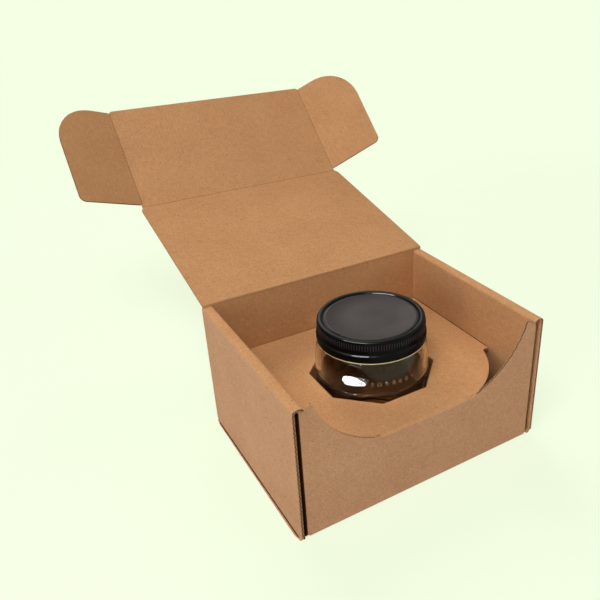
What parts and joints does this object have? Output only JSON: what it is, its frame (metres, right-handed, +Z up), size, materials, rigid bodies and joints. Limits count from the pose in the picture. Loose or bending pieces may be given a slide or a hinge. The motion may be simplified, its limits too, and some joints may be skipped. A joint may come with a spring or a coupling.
{
  "type": "jar box",
  "caption": "Folded corrugated mailer with a hinged lid, a tuck flap with ears and a cut-away front whose shelf holds a round glass jar with a screw lid.",
  "frame": {"origin": "on the surface the box stands on, under the middle of its floor", "axes": "+Z up, box front facing -Y, width along X; the opened lid reaches towards +Y"},
  "size_m": [0.2679, 0.3482, 0.2062],
  "materials": {
    "kraft_board": "matte",
    "clear_glass": "gloss",
    "black_enamel": "satin",
    "sealing_compound": "satin"
  },
  "bodies": {
    "tray": {"tray": "kraft_board", "jar_glass": "clear_glass"},
    "lid": {"lid_panel": "kraft_board"},
    "tuck": {"tuck_flap": "kraft_board"},
    "ear_left": {"left_ear": "kraft_board"},
    "ear_right": {"right_ear": "kraft_board"},
    "jar_seal": {"lid_liner": "sealing_compound"},
    "jar_lid": {"jar_lid": "black_enamel"}
  },
  "joints": [
    {"name": "lid_hinge", "type": "hinge", "parent": "tray", "child": "lid", "pos_m": [0, 0.0697, 0.0978], "axis": [1, 0, 0], "range_deg": [-15, 168]},
    {"name": "tuck_fold", "type": "hinge", "parent": "lid", "child": "tuck", "pos_m": [0, 0.20791, 0.12718], "axis": [1, 0, 0], "range_deg": [-31.7, 58.3]},
    {"name": "left_ear_fold", "type": "hinge", "parent": "tuck", "child": "ear_left", "pos_m": [-0.0902, 0.20791, 0.12718], "axis": [0, 0.723, 0.6909], "range_deg": [-25, 65]},
    {"name": "right_ear_fold", "type": "hinge", "parent": "tuck", "child": "ear_right", "pos_m": [0.0902, 0.20791, 0.12718], "axis": [0, -0.723, -0.6909], "range_deg": [-42, 48]},
    {"name": "jar_lid_rise", "type": "slide", "parent": "tray", "child": "jar_seal", "axis": [0, 0, 1], "range_m": [0, 0.0051]},
    {"name": "jar_lid_turn", "type": "hinge", "parent": "jar_seal", "child": "jar_lid", "pos_m": [0, -0.0025, 0.088], "axis": [0, 0, -1], "range_deg": [-360, 0]}
  ],
  "couplings": [
    {"joint": "jar_lid_rise", "follows": "jar_lid_turn", "m_per_rad": -0.00080851}
  ]
}
